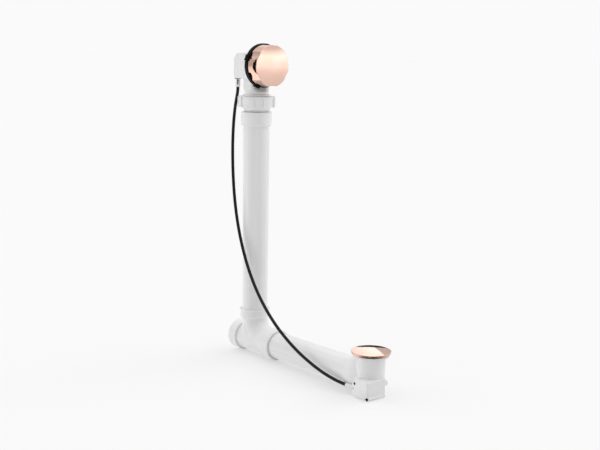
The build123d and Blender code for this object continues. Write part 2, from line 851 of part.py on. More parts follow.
# Rear cover of the side box
cover_section = (
    (tray_edge, box_bottom),
    (cover_back + bottom_bevel[0], box_bottom),
    (cover_back, box_bottom + bottom_bevel[1]),
    (cover_back, box_top - top_bevel[1]),
    (cover_back + top_bevel[0], box_top),
    (tray_edge, box_top),
)
with BuildPart() as gear_cover:
    with BuildSketch(upright(riser_x, overflow_rise, box_left)):
        with BuildLine():
            Polyline(*cover_section, close=True)
        make_face()
    extrude(amount=box_left - box_right)
    with BuildSketch(upright(riser_x, overflow_rise, box_left + box_wall)):
        with BuildLine():
            Polyline(
                (tray_edge, box_bottom + box_wall),
                (cover_back + bottom_bevel[0] + box_wall / 2, box_bottom + box_wall),
                (cover_back + box_wall, box_bottom + bottom_bevel[1] + box_wall / 2),
                (cover_back + box_wall, box_top - top_bevel[1] - box_wall / 2),
                (cover_back + top_bevel[0] + box_wall / 2, box_top - box_wall),
                (tray_edge, box_top - box_wall),
                close=True,
            )
        make_face()
    extrude(amount=box_left - box_right + 2 * box_wall, mode=Mode.SUBTRACT)
    with BuildSketch(across(tray_edge)):
        with Locations(*box_screws):
            Circle(2 * box_screw_radius)
    extrude(amount=cover_back + box_wall / 2 - tray_edge)
    with BuildSketch(across(tray_edge)):
        with Locations(*box_screws):
            Circle(box_screw_radius + screw_gap)
    extrude(amount=cover_back - tray_edge, mode=Mode.SUBTRACT)
    with BuildSketch(level(wire_x, box_floor_z, wire_y)):
        Circle(spigot_radius + screw_gap)
    extrude(amount=2 * box_wall, mode=Mode.SUBTRACT)

# Screws of the rear cover
with BuildPart() as gear_cover_screws:
    with BuildSketch(across(cover_back)):
        with Locations(*box_screws):
            Circle(box_screw_head[0])
    extrude(amount=-box_screw_head[1])
    with BuildSketch(across(cover_back)):
        with Locations(*box_screws):
            Circle(box_screw_radius)
    extrude(amount=box_screw_length)

# Upper ferrule, which holds the end of the sheath under the side box and shows the wire in a slot
with BuildPart() as upper_ferrule:
    with BuildSketch(level(wire_x, ferrule_top, wire_y)):
        Circle(ferrule_radius)
    extrude(amount=-ferrule_length)
    with BuildSketch(level(wire_x, ferrule_top, wire_y)):
        Circle(spigot_radius)
    extrude(amount=clip_size[2] + box_wall + seat_gap)
    with BuildSketch(level(wire_x, ferrule_bottom, wire_y)):
        Circle(wire_hole)
    extrude(amount=ferrule_length + clip_size[2] + 2 * box_wall, mode=Mode.SUBTRACT)
    with BuildSketch(level(wire_x, ferrule_bottom, wire_y)):
        Circle(cable_radius + weld_gap)
    extrude(amount=sheath_depth, mode=Mode.SUBTRACT)
    with BuildSketch(level(wire_x, ferrule_top - clip_size[2], wire_y)):
        with Locations(Location((0, 0), slot_angle)):
            Rectangle(2 * ferrule_radius, 2 * wire_hole, align=(Align.MIN, Align.CENTER))
    extrude(amount=sheath_depth + 2 * clip_size[2] - ferrule_length, mode=Mode.SUBTRACT)

# Spring clip that holds the ferrule under the floor of the side box
with BuildPart() as ferrule_clip:
    with BuildSketch(level(wire_x, ferrule_top, wire_y)):
        Rectangle(clip_size[0], clip_size[1])
        Circle(spigot_radius + running_gap, mode=Mode.SUBTRACT)
        with Locations((0, clip_size[1] / 2)):
            Rectangle(2 * spigot_radius - seat_gap, clip_size[1], mode=Mode.SUBTRACT)
    extrude(amount=clip_size[2])

# Drain shoe with the lever box and the far bearing, moulded as one
with BuildPart() as drain_shoe:
    with BuildSketch(upright(0, run_z)):
        with BuildLine():
            blend_start = (shoe_inlet_end + shoe_hub, shoe_hub_radius)
            blend_middle = (shoe_inlet_end + shoe_hub + shoe_blend / 2, (shoe_hub_radius + shoe_radius) / 2)
            blend_end = (shoe_inlet_end + shoe_hub + shoe_blend, shoe_radius)
            Polyline(
                blend_end,
                (0, shoe_radius),
                (0, 0),
                (shoe_inlet_end, 0),
                (shoe_inlet_end, shoe_hub_radius - hub_edge),
                (shoe_inlet_end + hub_edge, shoe_hub_radius),
                blend_start,
            )
            TangentArc(blend_start, blend_middle, tangent=(1, 0))
            TangentArc(blend_end, blend_middle, tangent=(-1, 0))
        make_face()
    revolve(axis=run_axis)
    with BuildSketch(upright(0, run_z)):
        with BuildLine():
            bottom_middle = polar(shoe_radius, -45)
            ThreePointArc((0, -shoe_radius), bottom_middle, (shoe_radius, 0))
            Polyline(
                (shoe_radius, 0),
                (shoe_top_radius, shoe_top - shoe_flange_thickness),
                (shoe_flange_radius, shoe_top - shoe_flange_thickness),
                (shoe_flange_radius, shoe_top),
                (0, shoe_top),
                (0, -shoe_radius),
            )
        make_face()
    revolve(axis=Axis.Z)
    with BuildSketch(upright(0, run_z, lever_box_front)):
        with BuildLine():
            Polyline(*lever_box_outline, close=True)
        make_face()
        with Locations(ears[1]):
            Circle(ear_radius)
    extrude(amount=lever_box_front - lever_box_back)
    with BuildSketch(upright(shaft_x, run_z + shaft_z)):
        Circle(bearing_radius)
    extrude(amount=-bearing_end)
    with BuildSketch(upright(0, run_z)):
        with BuildLine():
            Polyline(
                (shoe_inlet_end, 0),
                (shoe_inlet_end, socket_radius + hub_edge),
                (shoe_inlet_end + hub_edge, socket_radius),
                (shoe_inlet_end + socket_depth, socket_radius),
                (shoe_inlet_end + socket_depth, pipe_bore),
                (0, pipe_bore),
                (0, 0),
                close=True,
            )
        make_face()
    revolve(axis=run_axis, mode=Mode.SUBTRACT)
    with BuildSketch(upright(0, run_z)):
        with BuildLine():
            inside_middle = polar(shoe_bore, -45)
            ThreePointArc((0, -shoe_bore), inside_middle, (shoe_bore, 0))
            Polyline((shoe_bore, 0), (shoe_bore, shoe_top), (0, shoe_top), (0, -shoe_bore))
        make_face()
    revolve(axis=Axis.Z, mode=Mode.SUBTRACT)
    with BuildSketch(upright(0, run_z, lever_box_front)):
        with BuildLine():
            Polyline(*lever_box_outline, close=True)
        make_face()
        offset(amount=-lever_box_wall, kind=Kind.INTERSECTION, mode=Mode.REPLACE)
        with Locations(*ears):
            Circle(ear_post, mode=Mode.SUBTRACT)
    extrude(amount=lever_box_front - lever_box_floor, mode=Mode.SUBTRACT)
    with BuildSketch(upright(0, run_z, lever_box_front)):
        with Locations(*ears):
            Circle(cover_screw_radius + screw_gap)
    extrude(amount=-cover_screw_length, mode=Mode.SUBTRACT)
    with BuildSketch(upright(shaft_x, run_z + shaft_z, lever_box_front)):
        Circle(shaft_radius + running_gap)
    extrude(amount=lever_box_front - shaft_end - stop_gap, mode=Mode.SUBTRACT)
    with BuildSketch(facing_x(shoe_inlet_end, lower_wire_y, run_z + lower_wire_z)):
        Circle(lower_ferrule_radius + weld_gap)
    extrude(amount=lug_left - shoe_inlet_end, mode=Mode.SUBTRACT)
    with BuildSketch(upright(shaft_x, run_z + shaft_z)):
        Circle(arm_hub_radius + arm_room)
    extrude(amount=arm_width / 2 + arm_room, both=True, mode=Mode.SUBTRACT)
    with BuildSketch(upright(shaft_x, run_z + shaft_z, shaft_ring_place)):
        Circle(shaft_radius + 2 * ring_section)
    extrude(amount=ring_section + seat_gap, both=True, mode=Mode.SUBTRACT)

# Cover of the lever box, with two ears for its screws
with BuildPart() as lever_cover:
    with BuildSketch(upright(0, run_z, lever_box_front)):
        with BuildLine():
            Polyline(*lever_box_outline, close=True)
        make_face()
    extrude(amount=cover_depth)
    front_edges = lever_cover.edges().filter_by(Axis.Z).group_by(Axis.X)[-1]
    fillet(front_edges.sort_by(Axis.Y)[0], cover_round)
    with BuildSketch(level(0, run_z + lever_box_heights[0])):
        with BuildLine():
            facet_x = lever_box_ends[0]
            Polyline(
                (lever_box_shoulder, cover_face),
                (facet_x, cover_face),
                (facet_x, cover_face + cover_facet),
                close=True,
            )
        make_face()
    extrude(amount=lever_box_heights[1] - lever_box_heights[0], mode=Mode.SUBTRACT)
    with BuildSketch(upright(0, run_z, lever_box_front)):
        with Locations(*ears):
            Circle(ear_radius)
    extrude(amount=lever_box_front - ear_seat)
    with BuildSketch(upright(0, run_z, lever_box_front)):
        with BuildLine():
            Polyline(*lever_box_outline, close=True)
        make_face()
        offset(amount=-lever_box_wall, kind=Kind.INTERSECTION, mode=Mode.REPLACE)
        with Locations(*ears):
            Circle(ear_post, mode=Mode.SUBTRACT)
    extrude(amount=lever_box_front - cover_recess, mode=Mode.SUBTRACT)
    with BuildSketch(upright(0, run_z, ear_seat)):
        with Locations(*ears):
            Circle(cover_screw_head[0] + screw_gap)
    extrude(amount=cover_depth, mode=Mode.SUBTRACT)
    with BuildSketch(upright(0, run_z, lever_box_front)):
        with Locations(*ears):
            Circle(cover_screw_radius + screw_gap)
    extrude(amount=cover_depth, mode=Mode.SUBTRACT)
    with BuildSketch(upright(shaft_x, run_z + shaft_z, lever_box_front)):
        Circle(shaft_radius + running_gap)
    extrude(amount=lever_box_front - shaft_near, mode=Mode.SUBTRACT)
    with BuildSketch(facing_x(shoe_inlet_end, lower_wire_y, run_z + lower_wire_z)):
        Circle(lower_ferrule_radius + weld_gap)
    extrude(amount=lug_left - shoe_inlet_end, mode=Mode.SUBTRACT)

# Two screws of the lever cover
with BuildPart() as cover_screws:
    with BuildSketch(upright(0, run_z, ear_seat)):
        with Locations(*ears):
            Circle(cover_screw_head[0])
    extrude(amount=cover_screw_head[1])
    with BuildSketch(upright(0, run_z, ear_seat)):
        with Locations(*ears):
            Circle(cover_screw_radius)
    extrude(amount=-cover_screw_length)

# Lever shaft with its pinion, moulded as one
with BuildPart() as lever_shaft:
    with BuildSketch(upright(shaft_x, run_z + shaft_z, shaft_end)):
        Circle(shaft_radius)
    extrude(amount=shaft_end - shaft_near - seat_gap)
    with BuildSketch(upright(shaft_x, run_z + shaft_z, rack_far)):
        with BuildLine():
            Polyline(*pinion_points(lower_teeth, -90), close=True)
        make_face()
    extrude(amount=rack_far - rack_near)

# O-ring on the lever shaft
with BuildPart() as shaft_o_ring:
    with BuildSketch(Plane.XY.offset(run_z + shaft_z)):
        with Locations((shaft_x + shaft_radius + ring_section, shaft_ring_place)):
            Circle(ring_section - running_gap)
    revolve(axis=Axis((shaft_x, 0, run_z + shaft_z), (0, 1, 0)))

# Lifter arm under the stopper stem, hanging half of its turn below level
arm_droop = radians(lever_turn / 2)
arm_plane = Plane(
    origin=(shaft_x, 0, run_z + shaft_z),
    x_dir=(-cos(arm_droop), 0, -sin(arm_droop)),
    z_dir=(0, 1, 0),
)
with BuildPart() as lifter_arm:
    with BuildSketch(arm_plane):
        Circle(arm_hub_radius)
        with BuildLine():
            Polyline(
                (0, arm_thickness / 2),
                (shaft_x, arm_thickness / 2),
                (shaft_x, -arm_thickness / 2),
                (0, -arm_thickness / 2),
                close=True,
            )
        make_face()
        with Locations((shaft_x, 0)):
            Circle(pad_radius)
        Circle(shaft_radius + running_gap, mode=Mode.SUBTRACT)
    extrude(amount=arm_width / 2, both=True)

# Rack that the lower wire pulls
rack_line = shaft_z - lower_pitch
rack_bottom = lever_box_heights[0] + lever_box_wall + slide_gap
with BuildPart() as lower_rack:
    with BuildSketch(upright(0, run_z, rack_far)):
        with BuildLine():
            teeth = [(shaft_x + along, rack_line + out) for along, out in rack_points(lower_rack_first, lower_rack_last)]
            Polyline(
                (lug_left, rack_bottom),
                (lug_left, lug_top),
                (lower_rack_left, lug_top),
                (lower_rack_left, rack_line - dedendum),
                *teeth,
                (teeth[-1][0], rack_bottom),
                close=True,
            )
        make_face()
    extrude(amount=rack_far - rack_near)
    with BuildSketch(facing_x(lug_left, lower_wire_y, run_z + lower_wire_z)):
        Circle(wire_radius + running_gap)
    extrude(amount=lower_rack_left - lug_left, mode=Mode.SUBTRACT)

# Lower end of the wire, which moves with the lower rack
with BuildPart() as lower_wire:
    with BuildSketch(facing_x(lower_rack_left - seat_gap, lower_wire_y, run_z + lower_wire_z)):
        Circle(wire_radius)
    extrude(amount=lower_ferrule_tip - lower_rack_left - rack_travel / 2)

# Lower ferrule, held between the lever box and its cover
with BuildPart() as lower_ferrule:
    with BuildSketch(facing_x(lower_ferrule_end, lower_wire_y, run_z + lower_wire_z)):
        Circle(lower_ferrule_radius)
    extrude(amount=lower_ferrule_tip - lower_ferrule_end)
    with BuildSketch(facing_x(lower_ferrule_end, lower_wire_y, run_z + lower_wire_z)):
        Circle(wire_hole)
    extrude(amount=lower_ferrule_tip - lower_ferrule_end, mode=Mode.SUBTRACT)
    with BuildSketch(facing_x(lower_ferrule_end, lower_wire_y, run_z + lower_wire_z)):
        Circle(cable_radius + weld_gap)
    extrude(amount=sheath_depth, mode=Mode.SUBTRACT)

# Gasket between the bath floor and the shoe
with BuildPart() as drain_gasket:
    with BuildSketch(level(0, 0)):
        Circle(drain_gasket_radius)
        Circle(drain_tube_radius + seat_gap, mode=Mode.SUBTRACT)
    extrude(amount=-drain_gasket_thickness)

# Drain flange with a tapered seat, cross bars and the guide of the stem
with BuildPart() as drain_flange:
    with BuildSketch(upright(0, 0)):
        with BuildLine():
            Polyline(
                (drain_bore, -drain_tube_length),
                (drain_tube_radius, -drain_tube_length),
                (drain_tube_radius, 0),
                (rim_radius, 0),
                (rim_radius, rim_edge),
                (rim_radius - rim_edge, rim_thickness),
                (seat_mouth, rim_thickness),
                (drain_bore, rim_thickness - seat_depth),
                close=True,
            )
        make_face()
    revolve(axis=Axis.Z)
    with BuildSketch(level(0, -drain_tube_length)):
        Rectangle(drain_bore + drain_tube_radius, bar_width)
        Rectangle(bar_width, drain_bore + drain_tube_radius)
        Circle(guide_radius)
        Circle(stem_radius + running_gap, mode=Mode.SUBTRACT)
    extrude(amount=bar_height)

# Stopper: a domed disc with a boss for its stem
disc_bottom = rim_thickness + stopper_gap
disc_top = disc_bottom + stopper_edge
with BuildPart() as stopper:
    with BuildSketch(upright(0, 0)):
        with BuildLine():
            Polyline(
                (0, disc_top + stopper_dome),
                (0, disc_bottom - stopper_boss[1]),
                (stopper_boss[0], disc_bottom - stopper_boss[1]),
                (stopper_boss[0], disc_bottom),
                (stopper_radius, disc_bottom),
                (stopper_radius, disc_top),
            )
            half_height = dome_height(stopper_radius / 2, stopper_radius, stopper_dome)
            dome_middle = (stopper_radius / 2, disc_top + half_height)
            ThreePointArc((stopper_radius, disc_top), dome_middle, (0, disc_top + stopper_dome))
        make_face()
    revolve(axis=Axis.Z)
    rim_edges = stopper.edges().filter_by(lambda edge: abs(edge.length - 2 * pi * stopper_radius) < stopper_gap)
    fillet(rim_edges.sort_by(Axis.Z)[-1], stopper_round)
    with BuildSketch(level(0, disc_bottom - stopper_boss[1])):
        Circle(stem_radius + running_gap)
    extrude(amount=stem_socket, mode=Mode.SUBTRACT)

# Stem of the stopper, down to the lifter arm
stem_top = disc_bottom - stopper_boss[1] + stem_socket - seat_gap
stem_bottom = run_z + pad_rest_z + seat_gap
with BuildPart() as stopper_stem:
    with BuildSketch(level(0, stem_bottom)):
        Circle(stem_radius)
    extrude(amount=stem_top - stem_bottom)

# Seal ring under the stopper
with BuildPart() as stopper_seal:
    with BuildSketch(upright(0, 0)):
        with BuildLine():
            Polyline(
                (seal_inner, disc_bottom),
                (seal_outer, disc_bottom),
                (seal_outer - seal_taper, disc_bottom - seal_depth),
                (seal_inner, disc_bottom - seal_depth),
                close=True,
            )
        make_face()
    revolve(axis=Axis.Z)

# Cable sheath: straight runs joined by arcs, from ferrule to ferrule
cable_top = ferrule_bottom + sheath_depth - seat_gap
cable_end = lower_ferrule_end + sheath_depth - seat_gap
cable_points = [
    (wire_x, wire_y, cable_top),
    (wire_x, wire_y, ferrule_bottom - 6.0),
    (wire_x - 4.1, wire_y + 0.2, ferrule_bottom - 20.0),
    (wire_x - 9.0, wire_y, 391.5),
    (wire_x - 12.6, -20.2, 360.0),
    (-360.4, -22.5, 319.2),
    (-354.8, -25.7, 274.7),
    (-345.1, -29.5, 229.8),
    (-331.4, -33.0, 185.5),
    (-313.6, -35.5, 142.0),
    (-290.8, -37.5, 100.6),
    (-265.1, -38.5, 64.8),
    (-236.4, -39.0, 34.8),
    (-205.4, -39.0, 9.5),
    (-174.1, -38.5, -10.4),
    (-142.1, -37.5, -26.8),
    (-110.6, -36.0, -39.3),
    (-83.7, -34.0, -48.3),
    (-61.7, -31.0, -54.0),
    (-46.5, lower_wire_y - 1.4, run_z + lower_wire_z + 1.6),
    (-36.0, lower_wire_y, run_z + lower_wire_z),
    (cable_end, lower_wire_y, run_z + lower_wire_z),
]
places = [Vector(*point) for point in cable_points]
runs = [second - first for first, second in zip(places, places[1:])]
bend_radii = []
for before, after in zip(runs, runs[1:]):
    half_turn = radians(before.get_angle(after)) / 2
    bend_radii.append(bend_share * min(before.length, after.length) / tan(half_turn))
print("bend radii", [round(radius, 1) for radius in bend_radii])
with BuildPart() as cable:
    with BuildLine() as cable_route:
        FilletPolyline(*cable_points, radius=bend_radii)
    with BuildSketch(level(wire_x, cable_top, wire_y)):
        Circle(cable_radius)
    sweep()
cable_length = sum(edge.length for edge in cable_route.edges())
section_volume = pi * cable_radius**2 * cable_length
print("cable length", round(cable_length, 1), "volume share", round(cable.part.volume / section_volume, 4))
print("rack travel", round(rack_travel, 3), "lever turn", round(lever_turn, 3), "stopper lift", round(stopper_lift, 3))

pieces = {
    "tee": tee,
    "run_pipe": run_pipe,
    "riser_pipe": riser_pipe,
    "riser_coupling": riser_coupling,
    "slip_nut": slip_nut,
    "slip_washer": slip_washer,
    "overflow_body": overflow_body,
    "spindle_o_ring": spindle_o_ring,
    "overflow_gasket": overflow_gasket,
    "retaining_plate": retaining_plate,
    "retaining_screws": retaining_screws,
    "knob": knob,
    "knob_set_screw": knob_set_screw,
    "spindle": spindle,
    "drive_pinion": drive_pinion,
    "pinion_screw": pinion_screw,
    "upper_rack": upper_rack,
    "upper_wire": upper_wire,
    "gear_cover": gear_cover,
    "gear_cover_screws": gear_cover_screws,
    "upper_ferrule": upper_ferrule,
    "ferrule_clip": ferrule_clip,
    "drain_shoe": drain_shoe,
    "lever_cover": lever_cover,
    "cover_screws": cover_screws,
    "lever_shaft": lever_shaft,
    "shaft_o_ring": shaft_o_ring,
    "lifter_arm": lifter_arm,
    "lower_rack": lower_rack,
    "lower_wire": lower_wire,
    "lower_ferrule": lower_ferrule,
    "drain_gasket": drain_gasket,
    "drain_flange": drain_flange,
    "stopper": stopper,
    "stopper_stem": stopper_stem,
    "stopper_seal": stopper_seal,
    "cable": cable,
}
for node, piece in pieces.items():
    piece.part.label = node
    export_step(piece.part, f"parts/{node}.step")
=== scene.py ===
import bmesh
import bpy
import math
from mathutils import Matrix, Vector


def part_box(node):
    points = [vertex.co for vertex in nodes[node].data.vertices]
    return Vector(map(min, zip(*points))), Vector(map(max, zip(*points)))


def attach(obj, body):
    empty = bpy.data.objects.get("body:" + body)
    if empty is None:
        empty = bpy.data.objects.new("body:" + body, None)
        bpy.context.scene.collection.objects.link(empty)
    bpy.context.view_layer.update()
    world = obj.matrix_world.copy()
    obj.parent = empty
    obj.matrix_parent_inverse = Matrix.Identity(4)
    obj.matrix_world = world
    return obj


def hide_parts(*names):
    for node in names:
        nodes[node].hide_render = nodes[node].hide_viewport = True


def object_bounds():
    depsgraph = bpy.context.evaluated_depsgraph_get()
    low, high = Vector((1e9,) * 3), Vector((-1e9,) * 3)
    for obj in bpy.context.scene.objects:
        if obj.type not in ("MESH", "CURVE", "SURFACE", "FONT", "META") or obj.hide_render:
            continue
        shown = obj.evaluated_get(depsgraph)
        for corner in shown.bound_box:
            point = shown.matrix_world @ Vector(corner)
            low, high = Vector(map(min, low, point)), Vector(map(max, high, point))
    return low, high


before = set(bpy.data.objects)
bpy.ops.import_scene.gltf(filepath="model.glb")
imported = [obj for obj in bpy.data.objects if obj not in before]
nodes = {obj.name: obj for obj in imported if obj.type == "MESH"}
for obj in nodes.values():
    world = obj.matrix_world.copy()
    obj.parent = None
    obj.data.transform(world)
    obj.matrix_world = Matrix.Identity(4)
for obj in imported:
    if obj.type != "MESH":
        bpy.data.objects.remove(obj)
cad_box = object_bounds()
scene = bpy.context.scene
scene.view_settings.view_transform = "Standard"

MM = 0.001
mm_scale = Matrix.Scale(MM, 4)

# Nodes and colours

# Kinds of node that come up often
MATH = "ShaderNodeMath"
VECTOR_MATH = "ShaderNodeVectorMath"
MAP_RANGE = "ShaderNodeMapRange"
MIX = "ShaderNodeMix"
NOISE = "ShaderNodeTexNoise"
BUMP = "ShaderNodeBump"

# Pitch of the wave texture's bands at a scale of one
wave_pitch = 2 * math.pi / 20


def linear(hex_colour):
    """An sRGB hex colour as linear RGBA."""
    channels = [int(hex_colour[i : i + 2], 16) / 255 for i in (1, 3, 5)]
    return [c / 12.92 if c <= 0.04045 else ((c + 0.055) / 1.055) ** 2.4 for c in channels] + [1.0]


def add(material, kind, links=None, take=None, **settings):
    """Adds a node with its settings and links, and returns the output to take from it, or all of them."""
    tree = material.node_tree
    node = tree.nodes.new(kind)
    for name, value in settings.items():
        if hasattr(node, name):
            setattr(node, name, value)
        elif name.startswith("input_"):
            node.inputs[int(name.removeprefix("input_"))].default_value = value
        else:
            node.inputs[name.replace("_", " ")].default_value = value
    for name, output in (links or {}).items():
        tree.links.new(output, node.inputs[name])
    return node.outputs if take is None else node.outputs[take]


def feature_scale(size_mm):
    """Noise scale on object coordinates in metres for features about this many millimetres across."""
    return 1.0 / (size_mm * MM)


def ring_scale(pitch_mm):
    """Wave scale on object coordinates in metres for rings at this pitch in millimetres."""
    return wave_pitch / (pitch_mm * MM)


# Camera at the photograph's angle, for an image of 600 by 450
camera_place = Vector((1281.8, -1261.3, 521.4)) * MM
camera_azimuth = math.radians(49.39)
camera_pitch = math.radians(9.63)
camera_roll = math.radians(0.907)
focal_pixels = 1099.7
image_width = 600
sensor_width = 36.0
farthest_seen = 50.0

camera_data = bpy.data.cameras.new("camera")
camera_data.sensor_width = sensor_width
camera_data.lens = focal_pixels / image_width * sensor_width
camera_data.clip_end = farthest_seen
camera = bpy.data.objects.new("camera", camera_data)
turn = Matrix.Rotation(camera_azimuth, 4, "Z")
tilt = Matrix.Rotation(math.pi / 2 - camera_pitch, 4, "X")
roll = Matrix.Rotation(camera_roll, 4, "Z")
camera.matrix_world = Matrix.Translation(camera_place) @ turn @ tilt @ roll
scene.collection.objects.link(camera)
scene.camera = camera

# Cable sheath along the route of the CAD tube, which is in millimetres
cable_diameter = 5.8 * MM
cable_route = [
    (-348.8, -19.5, 435.2),
    (-348.8, -19.5, 425.5),
    (-352.9, -19.3, 411.5),
    (-357.8, -19.5, 391.5),
    (-361.4, -20.2, 360.0),
    (-360.4, -22.5, 319.2),
    (-354.8, -25.7, 274.7),
    (-345.1, -29.5, 229.8),
    (-331.4, -33.0, 185.5),
    (-313.6, -35.5, 142.0),
    (-290.8, -37.5, 100.6),
    (-265.1, -38.5, 64.8),
    (-236.4, -39.0, 34.8),
    (-205.4, -39.0, 9.5),
    (-174.1, -38.5, -10.4),
    (-142.1, -37.5, -26.8),
    (-110.6, -36.0, -39.3),
    (-83.7, -34.0, -48.3),
    (-61.7, -31.0, -54.0),
    (-46.5, -28.4, -56.9),
    (-36.0, -27.0, -58.5),
    (-26.8, -27.0, -58.5),
]
sheath_curve = bpy.data.curves.new("cable_sheath", "CURVE")
sheath_curve.dimensions = "3D"
# The bevel is one metre, so that each point's radius is the sheath's own
sheath_curve.bevel_depth = 1.0
sheath_curve.bevel_resolution = 6
sheath_curve.resolution_u = 10
sheath_curve.use_fill_caps = True
spline = sheath_curve.splines.new("NURBS")
spline.points.add(len(cable_route) - 1)
for point, place in zip(spline.points, cable_route):
    point.co = (*(Vector(place) * MM), 1.0)
    point.radius = cable_diameter / 2
spline.order_u = 3
spline.use_endpoint_u = True
cable_sheath = bpy.data.objects.new("cable_sheath", sheath_curve)
scene.collection.objects.link(cable_sheath)
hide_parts("cable")
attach(cable_sheath, "frame")

# Screws, lower ferrule and wire ends, each made in millimetres and set in the place of its CAD node

# Pan-head screw: head outline in parts of its radius and height, core and tip of the shank, and cross recess
head_outline = ((0.97, 0.0), (1.0, 0.1), (1.0, 0.42), (0.95, 0.66), (0.8, 0.87), (0.5, 0.97), (0.0, 1.0))
thread_core = 0.78
shank_tip = 0.35
recess_reach = 0.62
recess_half_width = 0.15
recess_depth = 0.62
recess_floor = 0.6
recess_mouth = 1.4
# Stranded wire: strands round the core, sides of each, and the step and lay along the wire in millimetres
strand_count = 6
strand_sides = 8
strand_step = 0.5
wire_lay = 9.0


def turned(profile, sides=40, hollow=False):
    """A shape turned about Z from (radius, height) points, from axis to axis or, if hollow, round a wall."""
    shape = bmesh.new()
    rings = []
    for radius, height in profile:
        steps = sides if radius else 1
        turns = [2 * math.pi * step / steps for step in range(steps)]
        rings.append([shape.verts.new((radius * math.cos(t), radius * math.sin(t), height)) for t in turns])
    after = rings[1:] + rings[:1] if hollow else rings[1:]
    for lower, upper in zip(rings, after):
        for step in range(sides):
            corners = [lower[step % len(lower)], lower[(step + 1) % len(lower)]]
            corners += [upper[(step + 1) % len(upper)], upper[step % len(upper)]]
            shape.faces.new(list(dict.fromkeys(corners)))
    return shape


def cross_cutter(reach, half_width, top, depth):
    """Cutter for a cross recess, with four arms that narrow towards the floor of the recess."""
    arm = ((reach, -half_width), (reach, half_width), (half_width, half_width))
    outline = []
    for quarter in range(4):
        spin = Matrix.Rotation(quarter * math.pi / 2, 2)
        outline += [spin @ Vector(point) for point in arm]
    shape = bmesh.new()
    floor_ring = [shape.verts.new((*(recess_floor * point), top - depth)) for point in outline]
    mouth_ring = [shape.verts.new((*(recess_mouth * point), top + depth)) for point in outline]
    shape.faces.new(floor_ring[::-1])
    shape.faces.new(mouth_ring)
    for i in range(len(outline)):
        j = (i + 1) % len(outline)
        shape.faces.new((floor_ring[i], floor_ring[j], mouth_ring[j], mouth_ring[i]))
    return shape


def aimed(place, aim):
    """Matrix that stands a shape at a place with its Z axis along aim."""
    return Matrix.Translation(place) @ aim.to_track_quat("Z", "Y").to_matrix().to_4x4()


def placed(name, shape):
    """An object made from a shape, which it uses up."""
    mesh = bpy.data.meshes.new(name)
    shape.to_mesh(mesh)
    shape.free()
    piece = bpy.data.objects.new(name, mesh)
    scene.collection.objects.link(piece)
    return piece


def fitted(name, shape, node, body):
    """A piece that stands for a CAD node, on its body."""
    piece = placed(name, shape)
    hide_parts(node)
    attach(piece, body)
    return piece


def pan_screw(head_radius, head_height, shank_radius, shank_length, thread_pitch):
    """Mesh of a pan-head screw with a cross recess and a threaded shank, head up, seat at zero."""
    core = thread_core * shank_radius
    profile = [(0, -shank_length), (shank_tip * core, -shank_length)]
    profile.append((core, 2 * thread_pitch - shank_length))
    turns = int((shank_length - 3 * thread_pitch) / thread_pitch)
    for thread in range(turns):
        root = (thread + 2) * thread_pitch - shank_length
        profile += [(shank_radius, root + thread_pitch / 2), (core, root + thread_pitch)]
    profile.append((core, 0))
    profile += [(out * head_radius, up * head_height) for out, up in head_outline]
    screw = placed("screw_blank", turned(profile))
    arms = cross_cutter(
        recess_reach * head_radius, recess_half_width * head_radius, head_height, recess_depth * head_height
    )
    cutter = placed("screw_cutter", arms)
    recess = screw.modifiers.new("recess", "BOOLEAN")
    recess.operation = "DIFFERENCE"
    recess.solver = "EXACT"
    recess.object = cutter
    cut = bpy.data.meshes.new_from_object(screw.evaluated_get(bpy.context.evaluated_depsgraph_get()))
    bpy.data.objects.remove(screw)
    bpy.data.objects.remove(cutter)
    return cut


def fit_screws(name, node, screw, aim, places, spins):
    """One piece with a copy of a screw at each place, its head towards aim, standing for a CAD node."""
    shape = bmesh.new()
    for place, spin in zip(places, spins):
        first = len(shape.verts)
        shape.from_mesh(screw)
        shape.verts.ensure_lookup_table()
        turn_to = aimed(Vector(place) * MM, aim) @ Matrix.Rotation(math.radians(spin), 4, "Z") @ mm_scale
        for vertex in shape.verts[first:]:
            vertex.co = turn_to @ vertex.co
    return fitted(name, shape, node, "frame")


def fit_wire(name, node, body):
    """Stranded wire along the longest side of a CAD node's box, with strands wound on a core."""
    low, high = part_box(node)
    size = (high - low) / MM
    along = max(range(3), key=lambda axis: size[axis])
    length = size[along]
    steps = int(length / strand_step)
    # Three strands lie across the wire
    strand = min(size) / 6
    shape = bmesh.new()
    for index in range(strand_count + 1):
        offset = 2 * strand if index < strand_count else 0.0
        rings = []
        for step in range(steps + 1):
            height = length * step / steps
            wind = 2 * math.pi * (index / strand_count + height / wire_lay)
            outward = Vector((math.cos(wind), math.sin(wind), 0.0))
            sideways = Vector((-math.sin(wind), math.cos(wind), 0.0))
            ahead = sideways * (2 * math.pi * offset / wire_lay) + Vector((0, 0, 1))
            beside = ahead.normalized().cross(outward)
            centre = offset * outward + Vector((0, 0, height))
            turns = [2 * math.pi * corner / strand_sides for corner in range(strand_sides)]
            radii = [strand * (math.cos(t) * outward + math.sin(t) * beside) for t in turns]
            rings.append([shape.verts.new(centre + radius) for radius in radii])
        shape.faces.new(rings[0][::-1])
        shape.faces.new(rings[-1])
        for lower, upper in zip(rings, rings[1:]):
            for corner in range(strand_sides):
                after = (corner + 1) % strand_sides
                shape.faces.new((lower[corner], lower[after], upper[after], upper[corner]))
    start = (low + high) / 2
    start[along] = low[along]
    aim = Vector([1.0 if axis == along else 0.0 for axis in range(3)])
    shape.transform(aimed(start, aim) @ mm_scale)
    return fitted(name, shape, node, body)


